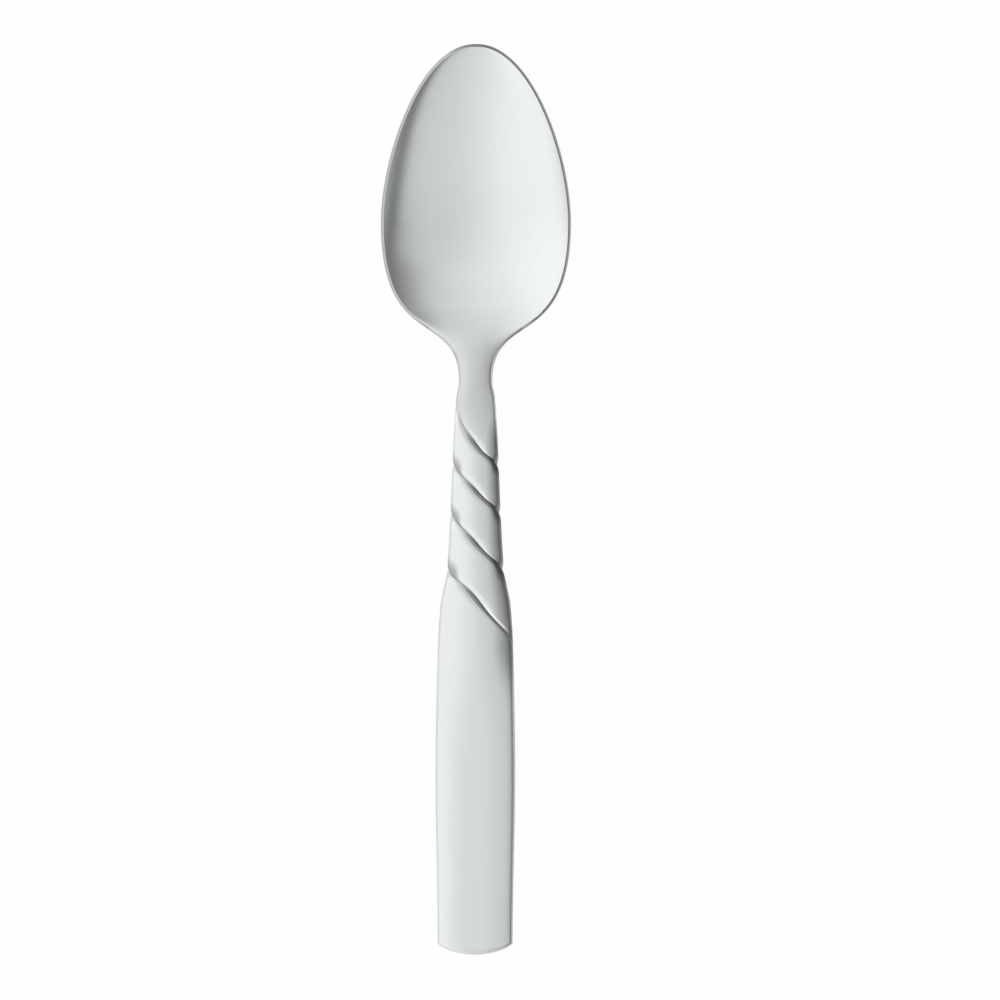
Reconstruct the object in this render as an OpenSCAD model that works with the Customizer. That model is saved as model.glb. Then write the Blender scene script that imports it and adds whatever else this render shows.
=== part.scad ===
// Demitasse spoon with a stem twisted like a two-strand rope.
// It lies on a table, tip towards +Y, with the hollow of the bowl upwards.
// Stations along the spoon are distances from the tip, in millimetres.

/* [Bowl] */
// Width of the bowl at its widest place
bowl_w = 24; // [21:0.1:27]
// Length from the tip to the widest place
bowl_front = 22.5; // [20:0.1:26]
// Length from the widest place to the narrowest place of the neck
bowl_back = 20; // [18:0.1:24]
// Sideways reach of the round of the tip
tip_round = 7.2; // [5:0.1:9]
// Reach of the sides ahead of the widest place
side_run = 8.3; // [5:0.1:11]
// Reach of the sides behind the widest place
heel_run = 16.4; // [13:0.1:18]
// Reach of the hollow curve that leads into the neck
neck_run = 9; // [6:0.1:11]
// Depth of the dish, to the middle of its wall
bowl_depth = 4; // [3.2:0.1:5]
// Share of the dish that curves evenly, and not close to the rim
bowl_soft = 0.68; // [0.5:0.01:0.9]
// Wall at the bottom of the bowl
bowl_wall = 1.2; // [1:0.05:1.6]
// Wall at the rim
rim_wall = 0.6; // [0.5:0.05:1]
// Width of the bevel on the rim
rim_bevel = 0.26; // [0.15:0.01:0.32]
// Rise of the rim towards the tip
tip_rise = 1; // [0:0.1:2]
// Length of level rim behind the widest place
level_run = 4; // [2:0.1:7]
// Station at which the floor of the dish starts to rise towards the neck
heel_from = 17; // [15:0.1:19.5]
// Station at which the dish ends
heel_to = 38.5; // [35:0.1:40]

/* [Neck] */
// Width of the neck at its narrowest place
neck_w = 4.2; // [3.6:0.1:5]
// Thickness of the neck
neck_t = 2.8; // [2.4:0.1:3.6]
// Length from the narrowest place to the start of the twist
neck_l = 2.2; // [1.5:0.1:5]
// Rise of the neck above the rim at the widest place
neck_rise = 2.6; // [1:0.1:4]

/* [Twist] */
// Length of the first half turn, at the neck
half_turn_1 = 8.3; // [6.5:0.1:10]
// Length of the second half turn
half_turn_2 = 6.1; // [5:0.1:8]
// Length of the third half turn
half_turn_3 = 7.1; // [5.5:0.1:9]
// Length of the last half turn, at the handle
half_turn_4 = 9.7; // [7:0.1:11]
// Length of a half turn at the pace with which the twist starts and ends
end_pace = 14.3; // [10:0.1:17]
// Length of a half turn at the pace with which the grooves pass the sides of the stem
side_pace = 2.8; // [1.5:0.1:6]
// Share of the oval of the stem that is left between its upright sides
twist_side = 0.86; // [0.8:0.01:0.97]
// Width of the stem where the twist starts
twist_top_w = 4.9; // [4.2:0.1:6]
// Thickness of the stem where the twist starts
twist_top_t = 2.9; // [2.6:0.1:3.8]
// Width of the stem one half turn before the twist ends
twist_low_w = 7.2; // [6.2:0.1:8.5]
// Width of the stem halfway along the last half turn
last_turn_w = 8.9; // [7.5:0.1:9.5]
// Thickness of the stem one half turn before the twist ends
twist_low_t = 4.1; // [3.4:0.1:5]
// Depth of the spiral grooves
groove_depth = 0.48; // [0.25:0.01:0.5]
// Reach of the rounded lip on each side of a groove
groove_reach = 1.4; // [0.8:0.05:1.6]
// Gap for the brazing metal between the strands
braze_gap = 0.05; // [0.03:0.01:0.08]

/* [Tang] */
// Diameter of the tang
tang_d = 1.4; // [1.2:0.1:1.6]
// Length of the tang inside the handle, past the twist
tang_in_handle = 12; // [8:0.5:15]
// Gap around the tang
tang_gap = 0.05; // [0.03:0.01:0.1]

/* [Handle] */
// Length of the handle, past the twist
handle_l = 39.1; // [36:0.1:50]
// Width of the shoulder, at the end of the twist
shoulder_w = 9.5; // [8:0.1:10.5]
// Thickness of the shoulder
shoulder_t = 4.1; // [3.6:0.1:5]
// Length from the shoulder to the widest place of the grip
grip_at = 16; // [10:0.5:22]
// Width of the grip
grip_w = 10.1; // [8.5:0.1:11.5]
// Thickness of the grip
grip_t = 3.5; // [3:0.1:4.4]
// Power of the oval of the grip, 2 for an ellipse
grip_square = 3.3; // [2:0.1:4]
// Share of the oval of the grip that is left between its upright sides
grip_side = 0.95; // [0.85:0.01:0.98]
// Width of the handle at its end
end_w = 9.5; // [8:0.1:11]
// Thickness of the handle at its end
end_t = 2.8; // [2.5:0.1:3.4]
// Length of the shallow round that closes the handle
end_round = 1.5; // [0.8:0.1:3]
// Softness of the corners of the end, 2 for an ellipse
end_corner = 1.45; // [1.2:0.05:2]
// Thickness left on the rim of the end
end_edge = 1.6; // [1:0.1:2.4]
// Slope of the stem, in degrees
stem_tilt = 5.5; // [3:0.5:6]
// Slope at the end of the handle, as a ratio
end_slope = 0.01; // [0:0.01:0.05]
// Depth of the flats on which the bowl and the handle rest
rest_cut = 0.12; // [0.06:0.01:0.16]

/* [Hidden] */
$fn = 64;

// Points round half a section, and points round a whole one
half_n = 24;
ring_n = 2 * half_n;
// Flattening of the oval sections, by which a turn of the twist runs faster past their sides
ring_flat = 0.6;
// Power of the corner between an oval and its upright sides
side_round = 20;
// Points of a ring that turn round each edge of the bowl wall, from its middle to the wall's face
edge_n = 2;
// Drop of the rim's bevels above and below, as shares of their width
bevel_top = 0.78;
bevel_low = 0.5;
// Bulge of the rim's side
rim_crown = 0.05;
// Power of the part of the dish that curves close to the rim
dish_power = 6;
// Powers of the rise of the dish towards the neck, at its start and at its end
heel_power = 2.2;
heel_soft = 1.4;
// Power of the round of the lips beside a groove
groove_power = 2.5;
// Rings from the tip to the widest place, from there to the neck, along the neck and along the handle
front_rings = 20;
back_rings = 24;
neck_rings = 3;
handle_rings = 26;
end_rings = 7;
// Rows of points up the helical lips of the bowl and the handle
lip_rows = 7;
// Steps across the rounded side of a strand, as shares of the groove's reach
lip_steps = [0, 0.18, 0.42, 0.7, 1];
// Angle over which a groove fades in at the neck and out at the handle
groove_fade = 25;
// Angle left free at each end of a strand
strand_relief = 0.8;
// Radius below which the lips and strands are drilled out for the tang
core_r = tang_d / 4;
// Clear depth past the end of the tang
bore_clear = 0.5;
// Length of the tang that roots in the neck
tang_root = 2;
// Turn by which the seam of the tang lies off the faces of the lips
tang_seam = 40;
// Share of the bowl's back where the dish starts to turn into the round neck
neck_blend_from = 0.55;
// Last turn of the round that closes the handle, in degrees
end_turn = 84;
// Half width of the section at the tip
tip_w = 0.4;
// Size of the block that stands for the table
table = 200;

// Stations
neck_at = bowl_front + bowl_back;
twist_at = neck_at + neck_l;
marks = [
    twist_at,
    twist_at + half_turn_1,
    twist_at + half_turn_1 + half_turn_2,
    twist_at + half_turn_1 + half_turn_2 + half_turn_3,
    twist_at + half_turn_1 + half_turn_2 + half_turn_3 + half_turn_4
];
shoulder_at = marks[4];
tang_end = shoulder_at + tang_in_handle;
spoon_l = shoulder_at + handle_l;
round_at = spoon_l - end_round;

// Half widths and half thicknesses of the stem and handle at their stations
width_knots = [
    [neck_at, neck_w / 2],
    [twist_at, twist_top_w / 2],
    [marks[3], twist_low_w / 2],
    [(marks[3] + shoulder_at) / 2, last_turn_w / 2],
    [shoulder_at, shoulder_w / 2],
    [shoulder_at + grip_at, grip_w / 2],
    [round_at, end_w / 2]
];
thick_knots = [
    [neck_at, neck_t / 2],
    [twist_at, twist_top_t / 2],
    [marks[3], twist_low_t / 2],
    [shoulder_at, shoulder_t / 2],
    [shoulder_at + grip_at, grip_t / 2],
    [round_at, end_t / 2]
];
// Pace of a groove where it passes the sides, as length for a degree of twist
paces = [end_pace, side_pace, side_pace, side_pace, end_pace] / 180;
twist_end = 180 * (len(marks) - 1);

// Outline of the bowl and the neck, as stations and half widths
front_curve = [[0, tip_w], [0, tip_round], [bowl_front - side_run, bowl_w / 2], [bowl_front, bowl_w / 2]];
back_curve = [
    [bowl_front, bowl_w / 2],
    [bowl_front + heel_run, bowl_w / 2],
    [neck_at - neck_run, neck_w / 2],
    [neck_at, neck_w / 2]
];
bowl_outline = concat(
    [for (i = [0:front_rings - 1]) bezier(front_curve, i / front_rings)],
    [for (i = [0:back_rings]) bezier(back_curve, i / back_rings)],
    [for (i = [1:neck_rings]) let (d = neck_at + neck_l * i / neck_rings) [d, half_w(d)]]
);

// Heights, with the lowest place of the bowl on the table
rim_z = max([for (p = bowl_outline) -wall_point(p[0], p[1], 0, -1)[1]]) - rest_cut;
twist_z = rim_z + neck_rise;
end_z = end_t / 2 - rest_cut;

// Smooth step from 0 to 1
function ease(s) = let (c = min(1, max(0, s))) c * c * (3 - 2 * c);

// Cubic curve through four control values
function bezier(p, t) =
    p[0] * pow(1 - t, 3) + 3 * p[1] * t * pow(1 - t, 2) + 3 * p[2] * t * t * (1 - t) + p[3] * pow(t, 3);

// Cubic from p to q over the run h, with slopes m and n
function cubic(p, m, q, n, h, s) =
    p * (1 + 2 * s) * pow(1 - s, 2) + h * m * s * pow(1 - s, 2)
    + q * s * s * (3 - 2 * s) + h * n * s * s * (s - 1);

// Fair curve through knots of station and value, without overshoot
function rate(k, i) = (k[i + 1][1] - k[i][1]) / (k[i + 1][0] - k[i][0]);
function slope(k, i) =
    i == 0 || i == len(k) - 1 ? 0 :
    rate(k, i - 1) * rate(k, i) <= 0 ? 0 :
    2 * rate(k, i - 1) * rate(k, i) / (rate(k, i - 1) + rate(k, i));
function span(k, v) = min(len(k) - 2, max(0, len([for (e = k) if (e[0] <= v) e]) - 1));
function fair(k, v) =
    let (i = span(k, v), h = k[i + 1][0] - k[i][0], s = min(1, max(0, (v - k[i][0]) / h)))
    cubic(k[i][1], slope(k, i), k[i + 1][1], slope(k, i + 1), h, s);

// Height of the middle line of the spoon at a station
function rim_line(d) =
    let (heel_at = bowl_front + level_run, heel = twist_at - heel_at)
    d < heel_at ? rim_z + tip_rise * pow(max(0, 1 - d / bowl_front), 2) :
    cubic(rim_z, 0, twist_z, -tan(stem_tilt), heel, (d - heel_at) / heel);
function stem_line(d) = twist_z - (d - twist_at) * tan(stem_tilt);
function handle_line(d) =
    cubic(stem_line(tang_end), -tan(stem_tilt), end_z, -end_slope, spoon_l - tang_end,
        (d - tang_end) / (spoon_l - tang_end));
function mid_z(d) = d < twist_at ? rim_line(d) : d < tang_end ? stem_line(d) : handle_line(d);

// Lean of a section, which is upright in the bowl and square to the stem and the handle
function lean(d) =
    d < twist_at ? stem_tilt * ease((d - bowl_front) / bowl_back) :
    d < tang_end ? stem_tilt :
    atan(handle_line(d - 0.05) * 10 - handle_line(d + 0.05) * 10);

// Point of the section at a station, x to the side and h above the middle line
function place(d, x, h) = [x, spoon_l / 2 - d - h * sin(lean(d)), mid_z(d) + h * cos(lean(d))];

// Round that closes the end of the handle: share of the full width left at a station
function end_share(d) = d <= round_at ? 1 : sqrt(max(0, 1 - pow((d - round_at) / end_round, end_corner)));
function half_w(d) = fair(width_knots, d) * end_share(d);
function half_t(d) = d <= round_at ? fair(thick_knots, d)
    : end_edge / 2 + (end_t - end_edge) / 2 * end_share(d);

// Angle round the oval stem at a turn of the twist, and at the point numbered j of a ring
function flat(t) =
    let (h = floor(t / 180 + 1e-9), u = t - 180 * h)
    180 * h + atan2(ring_flat * sin(u), cos(u));
function sweep(j) = flat(180 * j / half_n);

// Oval of a half width and a half thickness that is cut by upright sides, as a radius at an angle
function section(a, w, t, power, side) =
    let (
        x = abs(cos(a)) / w,
        z = abs(sin(a)) / t,
        bulge = pow(pow(side * x, power) + pow(z, power), 1 / power)
    )
    pow(pow(bulge, side_round) + (1 - pow(side, side_round)) * pow(x, side_round), -1 / side_round);

// Section of the stem and the handle, at an angle that runs left, top, right, back
function oval(a, d) =
    let (k = ease((d - shoulder_at) / grip_at))
    section(a, half_w(d), half_t(d), 2 + (grip_square - 2) * k, twist_side + (grip_side - twist_side) * k);
function on_stem(a, d, r) = place(d, -r * cos(a), r * sin(a));
function oval_ring(d) = [for (j = [0:ring_n - 1]) on_stem(sweep(j), d, oval(sweep(j), d))];

// Depth of the dish at a station where it is so wide
function dish(d, w) =
    let (
        front = d < bowl_front ? pow(min(1, w / (bowl_w / 2)), 2) : 1,
        heel = min(1, max(0, (d - heel_from) / (heel_to - heel_from)))
    )
    bowl_depth * front * pow(1 - pow(heel, heel_power), heel_soft);

// Share of the depth, and its slope, at a share of the reach to the side
function hollow(v) = 1 - bowl_soft * v * v - (1 - bowl_soft) * pow(abs(v), dish_power);
function hollow_slope(v) =
    2 * bowl_soft * v + dish_power * (1 - bowl_soft) * sign(v) * pow(abs(v), dish_power - 1);

// Section of the bowl: a wall of changing thickness, bent to a dish, with a bevelled upright rim
function wall_point(d, w, v, side) =
    let (
        reach = w - min(rim_bevel, w / 3),
        droop = dish(d, w),
        slope = droop / max(reach, 1) * hollow_slope(v),
        full = d < bowl_front ? droop / bowl_depth : 1,
        thick = rim_wall + (bowl_wall - rim_wall) * (1 - v * v) * full
    )
    [reach * v, -droop * hollow(v) + side * thick / 2 * sqrt(1 + slope * slope)];
function edge_point(d, w, side, level) =
    let (crest = wall_point(d, w, 1, 1)[1], x = level == 0 ? w : w - rim_crown)
    [side * x, level > 0 ? crest - bevel_top * rim_bevel : level < 0 ? bevel_low * rim_bevel - crest : 0];
function wall_angle(j) = 180 * (j - edge_n) / (half_n - 2 * edge_n);
function bowl_point(d, w, j) =
    j < edge_n ? edge_point(d, w, -1, j) :
    j <= half_n - edge_n ? wall_point(d, w, -cos(wall_angle(j)), 1) :
    j < half_n + edge_n ? edge_point(d, w, 1, half_n - j) :
    j <= ring_n - edge_n ? wall_point(d, w, -cos(wall_angle(ring_n - j)), -1) :
    edge_point(d, w, -1, j - ring_n);

// Ring of the bowl, which turns into the round neck along the heel
function neck_share(d) = ease((d - bowl_front - bowl_back * neck_blend_from) / (twist_at - bowl_front
    - bowl_back * neck_blend_from));
function neck_point(d, w, j) =
    let (a = sweep(j)) [-cos(a), sin(a)] * section(a, w, half_t(d), 2, twist_side);
function bowl_ring(d, w) = [
    for (j = [0:ring_n - 1])
        let (k = neck_share(d), p = bowl_point(d, w, j) * (1 - k) + neck_point(d, w, j) * k)
        place(d, p[0], p[1])
];

// Groove of the twist: its station at an angle of twist, and its depth there
function groove_at(t) =
    let (i = min(len(marks) - 2, max(0, floor(t / 180 + 1e-9))))
    cubic(marks[i], paces[i], marks[i + 1], paces[i + 1], 180, t / 180 - i);
function groove_cut(t) = groove_depth * ease(t / groove_fade) * ease((twist_end - t) / groove_fade);
function groove_round(gap) = pow(max(0, 1 - gap / groove_reach), groove_power);

// Radius of a strand or lip between the grooves at turns t and u, which may be left out
function strand_r(a, d, t, u) =
    oval(a, d)
    - (is_undef(t) ? 0 : groove_cut(t) * groove_round(d - groove_at(t)))
    - (is_undef(u) ? 0 : groove_cut(u) * groove_round(groove_at(u) - d));

// Section of a strand at an angle of twist, between its two grooves
function strand_ring(t, start) =
    let (
        a = flat(t) + start,
        from = groove_at(t) + braze_gap / 2,
        to = groove_at(t + 180) - braze_gap / 2,
        last = len(lip_steps) - 1,
        run = concat(
            [for (s = lip_steps) from + s * groove_reach],
            [(from + to) / 2],
            [for (i = [last:-1:0]) to - lip_steps[i] * groove_reach]
        )
    )
    concat(
        [on_stem(a, to, core_r)],
        [for (i = [len(run) - 1:-1:0]) on_stem(a, run[i], strand_r(a, run[i], t, t + 180))],
        [on_stem(a, from, core_r)]
    );

// Faces between two rows of points, without the triangles that close to a line
function pair(a, b, c, d) = [
    for (f = [[a, b, c], [b, d, c]]) if (f[0] != f[1] && f[1] != f[2] && f[0] != f[2]) f
];
function flip(faces) = [for (f = faces) [f[0], f[2], f[1]]];
function skin(first, last, n) = [
    for (i = [first:last - 1]) for (j = [0:n - 1])
        each pair(i * n + j, i * n + (j + 1) % n, (i + 1) * n + j, (i + 1) * n + (j + 1) % n)
];

// Closed body through rings of points
module loft(rings) {
    n = len(rings[0]);
    last = len(rings) - 1;
    ends = [[for (j = [n - 1:-1:0]) j], [for (j = [0:n - 1]) last * n + j]];
    polyhedron([for (r = rings) each r], concat(skin(0, last, n), ends));
}

// Body through rings of points that ends in two helical lips, each half a turn long.
// The lips grow from the last ring, from no length at one end of the half turn to a whole one at the other.
module lipped_loft(rings, base, turn, grow) {
    last = len(rings) - 1;
    n_skin = (last + 1) * ring_n;
    cols = half_n + 1;
    n_lip = 2 * cols * lip_rows;
    // Index of the points on the lips, on their inner edges and round the foot of the core
    function closed(j) = grow > 0 ? j == 0 : j == half_n;
    function foot(h, j) = last * ring_n + (h * half_n + j) % ring_n;
    function outer(h, j, k) = k == 0 || closed(j) ? foot(h, j) : n_skin + (h * cols + j) * lip_rows + k - 1;
    function core_foot(h, j) = n_skin + n_lip + (h * half_n + j) % ring_n;
    function core_edge(h, j) = closed(j) ? core_foot(h, j) : n_skin + n_lip + ring_n + h * cols + j;
    function lip_turn(j) = turn + 180 * j / half_n;
    function lip_end(j) = groove_at(lip_turn(j)) - grow * braze_gap / 2;
    function lip_station(j, k) = base + (lip_end(j) - base) * sin(90 * k / lip_rows);
    function lip_r(a, j, k) =
        grow > 0 ? strand_r(a, lip_station(j, k), undef, lip_turn(j)) :
        strand_r(a, lip_station(j, k), lip_turn(j), undef);
    lips = [
        for (h = [0, 1]) for (j = [0:half_n]) for (k = [1:lip_rows])
            let (a = 180 * h + sweep(j)) on_stem(a, lip_station(j, k), lip_r(a, j, k))
    ];
    core_feet = [for (j = [0:ring_n - 1]) on_stem(sweep(j), base, core_r)];
    core_edges = [for (h = [0, 1]) for (j = [0:half_n]) on_stem(180 * h + sweep(j), lip_end(j), core_r)];
    wall_j = grow > 0 ? half_n : 0;
    lip_faces = [
        for (h = [0, 1]) for (j = [0:half_n - 1]) each concat(
            [for (k = [0:lip_rows - 1])
                each pair(outer(h, j, k), outer(h, j + 1, k), outer(h, j, k + 1), outer(h, j + 1, k + 1))],
            pair(outer(h, j, lip_rows), outer(h, j + 1, lip_rows), core_edge(h, j), core_edge(h, j + 1)),
            pair(core_edge(h, j), core_edge(h, j + 1), core_foot(h, j), core_foot(h, j + 1))
        )
    ];
    wall_faces = [
        for (h = [0, 1])
            let (
                up = [for (k = [0:lip_rows]) outer(h, wall_j, k)],
                loop = concat(up, [core_edge(h, wall_j), core_foot(h, wall_j)])
            )
            grow > 0 ? turned(loop) : loop
    ];
    core_end = [for (j = [0:ring_n - 1]) n_skin + n_lip + j];
    far_end = [for (j = [0:ring_n - 1]) j];
    function turned(loop) = [for (i = [len(loop) - 1:-1:0]) loop[i]];
    ends = grow > 0 ? [turned(far_end), core_end] : [far_end, turned(core_end)];
    all_faces = concat(skin(0, last, ring_n), lip_faces);
    polyhedron(
        concat([for (r = rings) each r], lips, core_feet, core_edges),
        concat(grow > 0 ? all_faces : flip(all_faces), wall_faces, ends)
    );
}

// Round bar along the axis of the stem between two stations
module stem_bar(from, to, d) {
    translate([0, spoon_l / 2 - from, stem_line(from)])
        rotate([90 + stem_tilt, 0, 0])
            rotate([0, 0, tang_seam])
                cylinder(d = d, h = (to - from) / cos(stem_tilt));
}

// Table that cuts the flats on which the spoon rests
module table_cut() {
    translate([0, 0, -table / 2])
        cube(table, center = true);
}

module bowl() {
    color("silver")
        difference() {
            union() {
                lipped_loft([for (p = bowl_outline) bowl_ring(p[0], p[1])], twist_at, 0, 1);
                stem_bar(twist_at - tang_root, tang_end, tang_d);
            }
            table_cut();
        }
}

module strand(start) {
    steps = 3 * half_n;
    function strand_turn(i) = min(180 * 3 - strand_relief, max(strand_relief, 180 * i / half_n));
    difference() {
        loft([for (i = [0:steps]) strand_ring(strand_turn(i), start)]);
        stem_bar(twist_at - tang_root, tang_end, tang_d + 2 * tang_gap);
    }
}

module left_strand() {
    color("lightsteelblue")
        strand(0);
}

module right_strand() {
    color("slategray")
        strand(180);
}

module handle() {
    stations = concat(
        [for (i = [0:end_rings]) round_at + end_round * sin(end_turn * (end_rings - i) / end_rings)],
        [for (i = [1:handle_rings]) round_at + (shoulder_at - round_at) * i / handle_rings]
    );
    color("gainsboro")
        difference() {
            lipped_loft([for (d = stations) oval_ring(d)], shoulder_at, 180 * 3, -1);
            stem_bar(twist_at - tang_root, tang_end + bore_clear, tang_d + 2 * tang_gap);
            table_cut();
        }
}

bowl();
left_strand();
right_strand();
handle();
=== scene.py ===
"""Looks of a demitasse spoon with a twisted stem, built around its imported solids.

The spoon lies on a table with its tip towards +Y and the hollow of its bowl upwards. Its four pieces
follow the curves of the solids, sampled finer and with a slightly wider bevel on the rim, and have a
satin steel finish. Stations along the spoon are distances from the tip. All lengths are in metres.
"""

import math

import bmesh
import bpy
import numpy as np
from bpy.props import FloatProperty, FloatVectorProperty, IntProperty, PointerProperty
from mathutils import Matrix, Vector


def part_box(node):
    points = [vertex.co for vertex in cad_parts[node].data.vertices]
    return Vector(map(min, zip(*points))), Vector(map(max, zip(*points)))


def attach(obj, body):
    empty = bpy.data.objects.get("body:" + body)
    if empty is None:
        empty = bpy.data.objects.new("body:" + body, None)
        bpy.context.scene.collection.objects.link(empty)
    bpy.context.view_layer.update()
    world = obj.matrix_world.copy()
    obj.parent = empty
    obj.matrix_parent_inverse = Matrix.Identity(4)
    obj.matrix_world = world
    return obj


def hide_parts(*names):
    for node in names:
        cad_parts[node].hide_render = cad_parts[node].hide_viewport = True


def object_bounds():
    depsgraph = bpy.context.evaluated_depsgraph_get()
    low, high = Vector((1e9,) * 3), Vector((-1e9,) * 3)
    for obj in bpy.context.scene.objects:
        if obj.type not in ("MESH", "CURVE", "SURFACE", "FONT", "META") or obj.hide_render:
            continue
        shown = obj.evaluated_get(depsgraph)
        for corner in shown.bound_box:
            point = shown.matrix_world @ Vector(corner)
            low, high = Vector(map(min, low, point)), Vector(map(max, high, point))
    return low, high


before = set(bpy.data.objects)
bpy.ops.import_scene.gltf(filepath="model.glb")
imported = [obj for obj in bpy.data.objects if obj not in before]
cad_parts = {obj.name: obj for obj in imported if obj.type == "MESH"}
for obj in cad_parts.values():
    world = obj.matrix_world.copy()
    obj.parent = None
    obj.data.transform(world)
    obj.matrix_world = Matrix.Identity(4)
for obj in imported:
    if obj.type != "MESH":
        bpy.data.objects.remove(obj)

CAD_BOX = [list(corner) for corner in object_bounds()]

bl_info = {
    "name": "Twisted demitasse spoon",
    "version": (1, 0, 0),
    "blender": (4, 5, 0),
    "location": "3D View > Sidebar > Spoon",
    "description": "Builds a satin steel coffee spoon with a stem twisted like a rope",
    "category": "Add Mesh",
}

MM = 0.001
HALF_TURN = math.pi
TINY = 1e-9
SHARP = math.radians(50)

# Length of the spoon in millimetres and in pixels of the picture
SPOON_MM, SPOON_PIXELS = 115, 911.3


def number(name, description, value, **kind):
    """A number that a user may change."""
    return FloatProperty(name=name, description=description, default=value, **kind)


def size(name, description, millimetres):
    """A length that a user may change, given in millimetres."""
    return number(name, description, millimetres * MM, unit="LENGTH", precision=5)


def share(name, description, value):
    """A factor that a user may change."""
    return number(name, description, value, subtype="FACTOR")


def colour(name, description, value):
    """A colour that a user may change."""
    return FloatVectorProperty(name=name, description=description, default=value, size=3, subtype="COLOR",
                               min=0, max=1)


def wide(node):
    """Width of a CAD node, in millimetres."""
    low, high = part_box(node)
    return (high.x - low.x) / MM


class BowlSizes(bpy.types.PropertyGroup):
    """Sizes of the bowl."""
    width: size("Width", "Width at the widest place", wide("bowl"))
    front: size("Front", "Length from the tip to the widest place", 22.5)
    back: size("Back", "Length from the widest place to the neck", 20)
    tip_round: size("Tip round", "Sideways reach of the round of the tip", 7.2)
    side_run: size("Side run", "Reach of the sides ahead of the widest place", 8.3)
    heel_run: size("Heel run", "Reach of the sides behind the widest place", 16.4)
    neck_run: size("Neck run", "Reach of the hollow curve that leads into the neck", 9)
    depth: size("Depth", "Depth of the dish, to the middle of its wall", 4)
    wall: size("Wall", "Wall at the bottom of the dish", 1.2)
    rim: size("Rim", "Wall at the rim", 0.6)
    bevel: size("Bevel", "Width of the bevel on the rim", 0.36)
    crown: size("Crown", "Bulge of the rim's side", 0.05)
    soft: share("Soft side", "Share of the dish that curves evenly, and not close to the rim", 0.68)
    tip_rise: size("Tip rise", "Rise of the rim towards the tip", 1)
    level_run: size("Level run", "Length of level rim behind the widest place", 4)
    heel_from: size("Heel start", "Station at which the floor of the dish starts to rise", 17)
    heel_to: size("Heel end", "Station at which the dish ends", 38.5)


class StemSizes(bpy.types.PropertyGroup):
    """Sizes of the neck, the twist and the tang."""
    neck_w: size("Neck width", "Width of the neck at its narrowest place", 4.2)
    neck_t: size("Neck thickness", "Thickness of the neck", 2.8)
    neck_l: size("Neck length", "Length from the narrowest place to the twist", 2.2)
    neck_rise: size("Neck rise", "Rise of the neck above the rim", 2.6)
    half_turns: FloatVectorProperty(
        name="Half turns", description="Lengths of the four half turns, from the neck to the handle",
        default=(8.3 * MM, 6.1 * MM, 7.1 * MM, 9.7 * MM), size=4, unit="LENGTH", precision=5)
    end_pace: size("End pace", "Length of a half turn at the pace of both ends of the twist", 14.3)
    side_pace: size("Side pace", "Length of a half turn at the pace of the grooves at the sides", 2.8)
    side: share("Side", "Share of the oval of the stem that is left between its upright sides", 0.86)
    top_w: size("Top width", "Width where the twist starts", 4.9)
    top_t: size("Top thickness", "Thickness where the twist starts", 2.9)
    low_w: size("Low width", "Width one half turn before the twist ends", 7.2)
    last_w: size("Last width", "Width halfway along the last half turn", 8.9)
    low_t: size("Low thickness", "Thickness one half turn before the twist ends", 4.1)
    groove_depth: size("Groove depth", "Depth of the spiral grooves", 0.48)
    groove_reach: size("Groove reach", "Reach of the rounded lip beside a groove", 1.4)
    braze_gap: size("Braze gap", "Gap for the brazing metal between the strands", 0.05)
    tang_d: size("Tang", "Diameter of the tang", 1.4)
    tang_run: size("Tang run", "Length of the tang inside the handle", 12)
    tang_gap: size("Tang gap", "Gap around the tang", 0.05)
    tilt: number("Tilt", "Slope of the stem", math.radians(5.5), subtype="ANGLE")


class HandleSizes(bpy.types.PropertyGroup):
    """Sizes of the handle."""
    length: size("Length", "Length past the twist", 39.1)
    shoulder_w: size("Shoulder width", "Width at the end of the twist", 9.5)
    shoulder_t: size("Shoulder thickness", "Thickness at the end of the twist", 4.1)
    grip_at: size("Grip place", "Length from the shoulder to the widest place", 16)
    grip_w: size("Grip width", "Width at the widest place", wide("handle"))
    grip_t: size("Grip thickness", "Thickness at the widest place", 3.5)
    end_w: size("End width", "Width at the end", 9.5)
    end_t: size("End thickness", "Thickness at the end", 2.8)
    end_round: size("End round", "Length of the shallow round that closes the end", 1.5)
    end_corner: number("End corner", "Softness of the corners of the end", 1.45)
    square: number("Square", "Power of the oval of the grip, 2 for an ellipse", 3.3)
    side: share("Side", "Share of the oval of the grip that is left between its upright sides", 0.95)
    end_edge: size("End edge", "Thickness left on the rim of the end", 1.6)
    end_slope: share("End slope", "Slope at the end, as a ratio", 0.01)
    rest_cut: size("Rest cut", "Depth of the flats on which the spoon rests", 0.12)


class SteelLook(bpy.types.PropertyGroup):
    """Colours and finish of the steel."""
    steel: colour("Steel", "Colour of the satin steel", (0.72, 0.734, 0.736))
    # Colour of the painted highlight on the lips of the twist
    worn: colour("Worn", "Colour of the worn edges of the twist", (0.95, 0.955, 0.96))
    # Painted shade: its colour, laid in the grooves, on the right edges, between the strands, on the neck and
    # on the rim
    soil: colour("Groove", "Colour of the steel in the grooves", (0.13, 0.133, 0.137))
    neck_tone: share("Neck tone", "Share of the groove's colour on the neck", 0.24)
    rim_tone: share("Rim tone", "Share of the groove's colour on the rim of the bowl", 0.44)
    satin: share("Satin", "Roughness of the satin finish", 0.3)
    grain_pitch: size("Grain pitch", "Distance between the brush lines", 0.11)
    grain_run: size("Grain run", "Length of the brush lines", 4)
    grain_height: size("Grain height", "Height of the brush lines", 0.002)


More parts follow.
